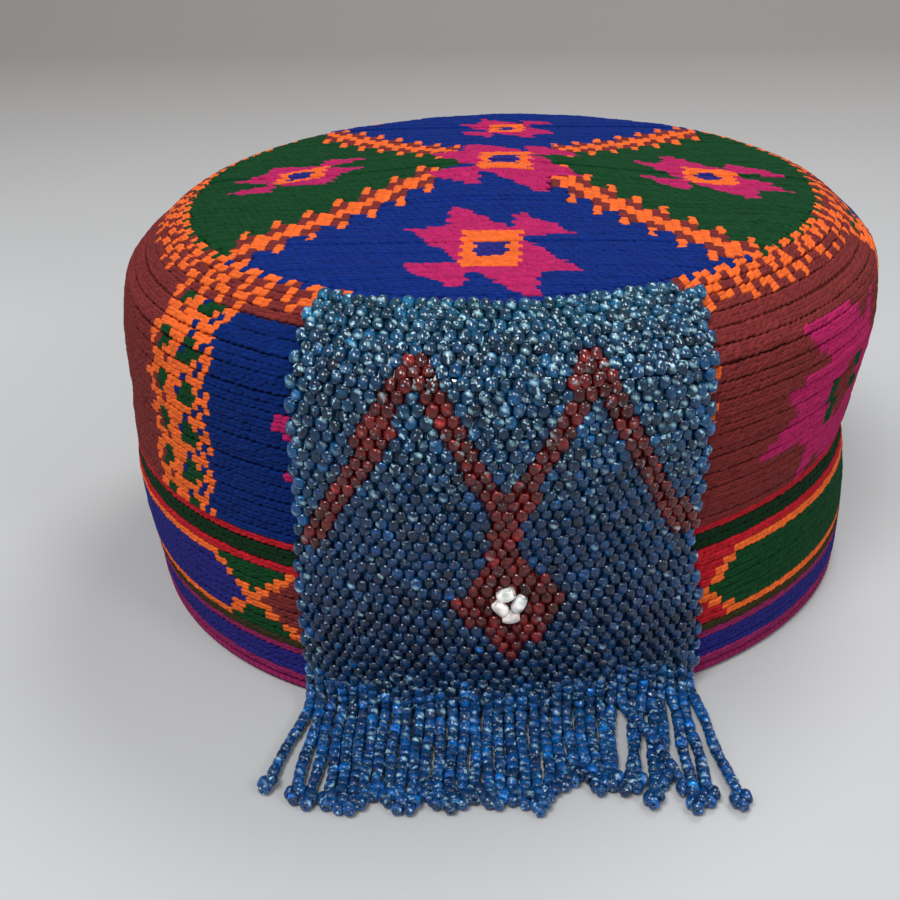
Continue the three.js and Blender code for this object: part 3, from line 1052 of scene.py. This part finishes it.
beads = {
    "size": 2.6,
    "columns": 33,
    "across": 2.64,
    "rowPitch": 2.32,
    # share across the panel, length from the hem of its top edge there
    "topEdge": [(-1, 95.0), (-0.8, 96.8), (-0.4, 97.5), (0, 97.0), (0.4, 97.0), (0.7, 96.4), (1, 95.0)],
    "foot": 3.4,
    "middle": 1.0,
    "lift": 1.55,
    # length from the hem, shift of the left edge and of the right edge, outward is positive
    "edges": [
        (0, 0.2, 2.0), (12, 0.0, 2.2), (28, -1.9, 1.9), (44, -2.5, 0.0), (54, -1.4, -1.8),
        (64, -1.2, -3.2), (74, -0.8, -4.2), (86, 0.6, -2.2), (97, 3.2, 1.6), (104, 4.2, 3.0),
    ],
    # The zigzag's corners and the diamond: length from the hem, columns from the middle
    "zigzag": [(44.2, -15.0), (84.0, -7.4), (52.0, 0.1), (84.0, 6.0), (43.4, 15.5)],
    "diamond": (31.8, 0.8, 15.8, 4.3),
    # length from the hem, colour of the blue glass there, with painted light and shade: palest at the top,
    # which faces the light, darkest low on the panel
    "paintedLightBlues": [
        (4, (0.0, 0.19, 0.34)), (18, (0.0, 0.13, 0.26)), (48, (0.0, 0.17, 0.315)),
        (70, (0.0, 0.19, 0.325)), (86, (0.0, 0.20, 0.32)), (98, (0.01, 0.26, 0.36)),
    ],
    "garnet": (0.34, 0.05, 0.05),
    # Half the thickness of the zigzag in columns, how far it runs on past its corners, down and up
    "zigzagLine": (1.1, 1.5, 2.0),
    # Half the columns of the neck between the zigzag and the diamond
    "neck": 1.2,
    # The outermost column catches the light, painted into its colour: from this share across, how much
    # lighter, what is added
    "edgeShare": 0.955,
    "edgeLift": 1.2,
    "edgeTint": (0.0, 0.04, 0.06),
    "edgeGlints": 0.6,
    # Painted glints, as light gathered in the glass: their colour and the share of beads that show one, at
    # the foot and at the top
    "glint": (0.80, 0.97, 1.0),
    "glintShares": [(4, 0.35), (16, 0.1), (52, 0.15), (66, 0.35), (76, 0.75), (88, 0.75), (98, 0.6)],
    "garnetGlints": 0.25,
    # How clear a glint is of the glass's own colour, and the shape of the spread of its strength
    "glintClear": 0.85,
    "glintSpread": (1.6, 1.6),
    # How much beads differ in lightness and hue, and the corners of one bead in lightness as painted sparkle
    "shadeSpread": (-0.1, 0.3),
    "hueSpread": 0.04,
    "unevenSpread": (-0.15, 0.5),
    # Their size: middle, spread, least and most; how far they tilt on the thread
    "sizeShares": (1.03, 0.05, 0.88, 1.12),
    "tilt": 0.1,
    # How far they stray along their column, across as a share of the panel, and off the cap
    "stray": (0.15, 0.004, 0.13),
    # Rows sway by this much, with a wave over the columns and the rows
    "sway": (0.35, 0.5, 0.1),
    "ragged": 0.5,
    "seed": 5,
}

# One bead: a ring round its hole, with a rounded section of reach and height carried round
beadSides = 8
beadProfile = np.array([(1, -0.5), (1.02, 0), (1, 0.5), (0.78, 1), (0.34, 1), (0.34, -1), (0.78, -1)])
beadTurn = np.arange(beadSides) / beadSides * 2 * math.pi
beadCorners = np.stack([beadProfile[:, :1] * np.cos(beadTurn), beadProfile[:, :1] * np.sin(beadTurn),
                        beadProfile[:, 1:] + 0 * beadTurn], -1).reshape(-1, 3)
beadFaces = gridFaces(len(beadProfile), beadSides, True, True)


# Painted light on the glass: each corner of a bead is darker or paler by chance, as painted sparkle, and in
# some beads the light gathers in one pale spot on the side that faces out, a painted glint
def glassDyeAndPaintedGlints(colours, glints, random):
    count = len(colours)
    shade = random.lognormal(*beads["shadeSpread"], (count, 1))
    shade = shade + random.normal(0, beads["hueSpread"], (count, 3))
    uneven = random.lognormal(*beads["unevenSpread"], (count, len(beadCorners), 1))
    dye = (toLight(colours) * shade)[:, None] * uneven
    # One of the three outer rings, and one of the three sides that face out
    spot = random.integers(0, 3, count) * beadSides + random.integers(1, 4, count)
    lit = random.uniform(0, 1, count) < glints
    strength = np.where(lit, random.beta(*beads["glintSpread"], count), 0.0)[:, None]
    clear = beads["glintClear"]
    glintColour = toLight(np.array(beads["glint"]) * clear + np.asarray(colours) * (1 - clear))
    chosen = dye[np.arange(count), spot]
    dye[np.arange(count), spot] = chosen + (glintColour - chosen) * strength
    return np.clip(dye, 0.002, 1).reshape(-1, 3)


def unit(vectors):
    return vectors / np.linalg.norm(vectors, axis=1, keepdims=True)


# Threads one bead at each place, its hole along the given way, out is the side that faces away
def layBeads(name, places, ways, outs, colours, glints, random, radius, stretch=1.0):
    count = len(places)
    ways = unit(unit(ways) + random.normal(0, beads["tilt"], ways.shape))
    side = unit(np.cross(ways, outs))
    face = np.cross(side, ways)
    middle, spread, least, most = beads["sizeShares"]
    scale = radius * np.clip(random.normal(middle, spread, (count, 1, 1)), least, most)
    corners = beadCorners[None] * scale * np.array([1.0, 1.0, stretch])
    points = (places[:, None] + corners[..., 0:1] * side[:, None] + corners[..., 1:2] * face[:, None]
              + corners[..., 2:3] * ways[:, None]).reshape(-1, 3)
    faces = (beadFaces[None] + (np.arange(count) * len(beadCorners))[:, None, None]).reshape(-1, 4)
    return buildPiece(name, points, [faces], seedGlass, glassDyeAndPaintedGlints(colours, glints, random))


panelHalf = beads["across"] * beads["columns"] / 2


# A point of the panel: length from the hem, share of the half width from its middle, lift
def panelPoint(along, share, lift):
    edges = np.array(beads["edges"])
    left = np.interp(along, edges[:, 0], edges[:, 1])
    right = np.interp(along, edges[:, 0], edges[:, 2])
    across = share * panelHalf + np.where(share < 0, share * left, share * right)
    angle = math.radians(beads["middle"] - 90) + across / capForm["radius"]
    return capPoint(along, angle, lift)


# The colour of a panel bead at a length from the hem and a column from the middle, its blue lighter or
# darker by height as painted light and shade
# The zigzag runs through its corners, the diamond hangs below its middle one
def panelDye(along, column):
    stops = [stop for stop, colour in beads["paintedLightBlues"]]
    colours = np.stack([np.interp(along, stops, [colour[part] for stop, colour in beads["paintedLightBlues"]])
                        for part in range(3)], -1)
    garnet = np.zeros(along.shape, bool)
    thick, below, above = beads["zigzagLine"]
    for (along0, column0), (along1, column1) in zip(beads["zigzag"], beads["zigzag"][1:]):
        part = np.clip((along - along0) / (along1 - along0), 0, 1)
        within = (along >= min(along0, along1) - below) & (along <= max(along0, along1) + above)
        garnet |= within & (np.abs(column - (column0 + (column1 - column0) * part)) < thick)
    down, side, tall, wide = beads["diamond"]
    diamond = np.abs(along - down) / tall + np.abs(column - side) / wide < 1
    neck = (along > down) & (along < beads["zigzag"][2][0]) & (np.abs(column - side / 2) < beads["neck"])
    colours[garnet | diamond | neck] = beads["garnet"]
    return colours


# Length of the line that the beads' middles follow, beside each point of the cap's own line
def liftedLine():
    points = linePoints[:, :2] + lineNormals * beads["lift"]
    steps = np.hypot(*np.diff(points, axis=0).T)
    return np.concatenate([[0], np.cumsum(steps)])


# Rows of beads from the foot up, every other row half a bead to the side
def beadPanel():
    random = np.random.default_rng(beads["seed"])
    lifted = liftedLine()
    start = np.interp(beads["foot"], lineLength, lifted)
    edge = np.array(beads["topEdge"])
    end = np.interp(edge[:, 1].max(), lineLength, lifted)
    rows = int((end - start) / beads["rowPitch"])
    row, column = np.meshgrid(np.arange(rows), np.arange(beads["columns"]), indexing="ij")
    row = row.ravel()
    column = column.ravel() - (beads["columns"] - 1) / 2 + np.where(row % 2, 0.25, -0.25)
    share = column / (beads["columns"] / 2)
    strayDown, strayAcross, strayOff = beads["stray"]
    sway, columnWave, rowWave = beads["sway"]
    slack = random.normal(0, strayDown, len(row)) + sway * np.sin(column * columnWave + row * rowWave)
    along = np.interp(start + (row + 0.5) * beads["rowPitch"] + slack, lifted, lineLength)
    kept = along < np.interp(share, edge[:, 0], edge[:, 1]) + random.normal(0, beads["ragged"], len(row))
    along, share, column = along[kept], share[kept], column[kept]
    share = share + random.normal(0, strayAcross, len(share))
    lift = beads["lift"] + random.normal(0, strayOff, len(along))
    places = panelPoint(along, share, lift)
    ways = panelPoint(along - 0.5, share, lift) - panelPoint(along + 0.5, share, lift)
    outs = panelPoint(along, share, lift + 1) - places
    # Painted glints: the share of beads that get one, by height, fewer on garnet glass
    stops, shares = zip(*beads["glintShares"])
    colours = panelDye(along, column)
    isGarnet = colours[:, 0] == beads["garnet"][0]
    glints = np.interp(along, stops, shares) * np.where(isGarnet, beads["garnetGlints"], 1.0)
    # Painted light: the outermost column is made paler and gets more painted glints
    outermost = np.abs(share) > beads["edgeShare"]
    colours[outermost] = colours[outermost] * beads["edgeLift"] + beads["edgeTint"]
    glints = np.where(outermost, np.maximum(glints, beads["edgeGlints"]), glints)
    piece = layBeads("bead_panel_beads", places, ways, outs, colours, glints, random,
                     beads["size"] / 2)
    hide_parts("bead_panel")


beadPanel()


gapLightBand = {
    "rows": 64,
    "columns": 66,
    # Share of the half width that it reaches, and how far it stays below the top edge
    "reach": 0.97,
    "below": 1.2,
    # Its outer and inner side, under the beads' middles
    "outer": 0.15,
    "inner": 1.1,
    # How much paler than the beads' colours: painted light
    "shade": 1.1,
}


# A thin closed band under the beads in their own colours, a little paler: painted light that fills the gaps
# between the beads, as light passing through the glass
def beadGapLightBand():
    rows, columns = gapLightBand["rows"], gapLightBand["columns"]
    share = np.linspace(-gapLightBand["reach"], gapLightBand["reach"], columns)
    edge = np.array(beads["topEdge"])
    top = np.interp(share, edge[:, 0], edge[:, 1]) - gapLightBand["below"]
    part = np.linspace(0, 1, rows)[:, None]
    along = beads["foot"] + (top[None] - beads["foot"]) * part
    share = share[None] + 0 * along
    outer = panelPoint(along, share, beads["lift"] - gapLightBand["outer"])
    inner = panelPoint(along, share, beads["lift"] - gapLightBand["inner"])
    points = np.concatenate([outer, inner[::-1]])
    around = 2 * rows
    faces = gridFaces(around, columns, True, False)
    step = np.arange(rows - 1)
    last = around - 1 - step
    leftCap = np.stack([step, step + 1, last - 1, last], -1) * columns
    rightCap = leftCap[:, ::-1] + columns - 1
    dye = toLight(panelDye(along, share * beads["columns"] / 2)) * gapLightBand["shade"]
    dye = np.concatenate([dye, dye[::-1]]).reshape(-1, 3)
    piece = buildPiece("bead_panel_gap_light_band", points.reshape(-1, 3), [faces, leftCap, rightCap], seedGlass,
                       dye)
    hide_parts("bead_panel")


beadGapLightBand()

# Fringe

fringe = {
    "pitch": 2.2,
    "beadRadius": 1.2,
    # Least and most height of a strand's first bead, and how far it stands off the cap
    "start": (6.0, 12.0),
    "startLift": 2.0,
    "rootAlong": 6.0,
    # Height of the strands' middles on the floor, and how quickly they fall to it
    "floorHeight": 1.35,
    "fall": 1.5,
    # How far the strands spread past the panel's left and right edge, as a share
    "spread": (0.01, 0.04),
    # Their sway to the sides: how far, and radians for each millimetre
    "sway": (0.22, 0.3),
    # The end's loop: length that it fills, its beads' reach along, then their shifts
    "loop": 6.0,
    "loopReach": (1.0, 1.0, 2.4),
    "loopShifts": [[-0.9, 0.0, 0.0], [0.9, 0.0, 0.7], [0.0, 0.0, 0.2]],
    # For each strand from the left, how far its end lies to the right of its start and forward of it
    "ends": [
        (-5.8, 29.3), (-2.4, 31.1), (-1.5, 31.8), (-0.3, 30.9), (-0.2, 31.5), (-0.2, 31.1), (-0.6, 28.9),
        (-0.8, 25.9), (-0.5, 27.3), (-0.5, 28.8), (-0.6, 28.7), (-0.6, 24.6), (-0.4, 26.9), (-0.3, 27.8),
        (-0.3, 26.4), (-0.1, 24.7), (0.0, 26.1), (-0.1, 26.8), (0.0, 25.9), (0.0, 26.9), (0.0, 29.1),
        (0.1, 25.7), (0.2, 23.1), (0.2, 22.2), (0.5, 21.9), (0.3, 26.1), (0.3, 24.8), (-1.7, 26.1),
        (10.2, 29.3), (-1.7, 28.2), (-5.7, 29.9), (-3.3, 34.4), (-2.9, 29.8), (0.2, 37.4), (1.0, 36.6),
        (4.3, 39.0),
    ],
    # The strand that lies over the others, and how high
    "crossing": 28,
    "crossingHigh": 2.0,
    "blue": (0.0, 0.235, 0.44),
    # Share of beads that get a painted glint
    "glints": 0.4,
    "seed": 8,
}


# Each strand drops from the panel's foot to the floor and runs forward, ending in a loop of three beads
def beadFringe():
    random = np.random.default_rng(fringe["seed"])
    places, ways = [], []
    radius, lean = lineAt(np.array([fringe["rootAlong"]]))[::2]
    strands = len(fringe["ends"])
    floorHigh = fringe["floorHeight"]
    swayWide, swayTurn = fringe["sway"]
    for strand, (drift, reach) in enumerate(fringe["ends"]):
        share = (strand + 0.5) / strands * 2 - 1
        edge = 1 + fringe["spread"][0 if share < 0 else 1]
        angle = math.radians(beads["middle"] - 90) + share * panelHalf * edge / capForm["radius"]
        high = random.uniform(*fringe["start"])
        start = mould(radius + fringe["startLift"], np.array([high]), lean, np.array([angle]))[0]
        length = high + reach - fringe["loop"]
        count = round(length / fringe["pitch"])
        step = (np.arange(count) + 0.5) * length / count
        drop = np.clip(step / (high + 1.0), 0, 1)
        level = floorHigh + (start[2] - floorHigh) * (1 - drop) ** fringe["fall"]
        # A strand starts to run forward a little before it has come down
        out = np.maximum(step - high + 3.5, 0.0)
        part = out / out[-1]
        wave = swayWide * np.sin(out * swayTurn + random.uniform(0, 6))
        points = np.stack([start[0] + drift * part ** 1.2 + wave, start[1] - out - 0.2, level], -1)
        points[:, 2] += random.uniform(0, 0.3)
        if strand == fringe["crossing"]:
            points[:, 2] += fringe["crossingHigh"] * np.sin(part * math.pi)
        way = np.gradient(points, axis=0)
        tip = points[-1] + unit(way[-1:]) * np.array(fringe["loopReach"])[:, None]
        # The loop's beads stay on the floor
        tip[:, 2] = np.maximum(tip[:, 2], points[-1, 2])
        tip += np.array(fringe["loopShifts"])
        places.append(np.concatenate([points, tip]))
        ways.append(np.concatenate([way, np.tile(way[-1], (len(tip), 1))]))
    places, ways = np.concatenate(places), np.concatenate(ways)
    outs = np.tile([0.0, -0.3, 1.0], (len(places), 1))
    colours = np.tile(fringe["blue"], (len(places), 1))
    piece = layBeads("bead_fringe_beads", places, ways, outs, colours, fringe["glints"],
                     random, fringe["beadRadius"])
    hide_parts("bead_fringe")


beadFringe()

# The raised flower on the diamond
flower = {
    # Length from the hem and millimetres to the right of each petal, and its turn
    "petals": [(34.3, 1.95, 25.0), (32.3, 4.3, 55.0), (31.6, 0.7, -35.0), (29.6, 2.5, 5.0)],
    "white": (0.95, 0.94, 0.92),
    "raised": 1.9,
    "radius": 1.4,
    "stretch": 1.22,
    "seed": 3,
}


# Four long white beads lying flat
def whiteFlower():
    random = np.random.default_rng(flower["seed"])
    along, right, turn = (np.array(part) for part in zip(*flower["petals"]))
    turn = np.radians(turn)
    lift = beads["lift"] + flower["raised"]
    places = panelPoint(along, right / panelHalf, lift)
    ahead = panelPoint(along + 0.5 * np.sin(turn), (right + 0.5 * np.cos(turn)) / panelHalf, lift)
    outs = panelPoint(along, right / panelHalf, lift + 1) - places
    colours = np.tile(flower["white"], (len(places), 1))
    layBeads("white_flower", places, ahead - places, outs, colours, 0.0, random,
             flower["radius"], flower["stretch"])


whiteFlower()
print("bead work is done")

print(f"{sum(triangleCounts)} triangles in all")
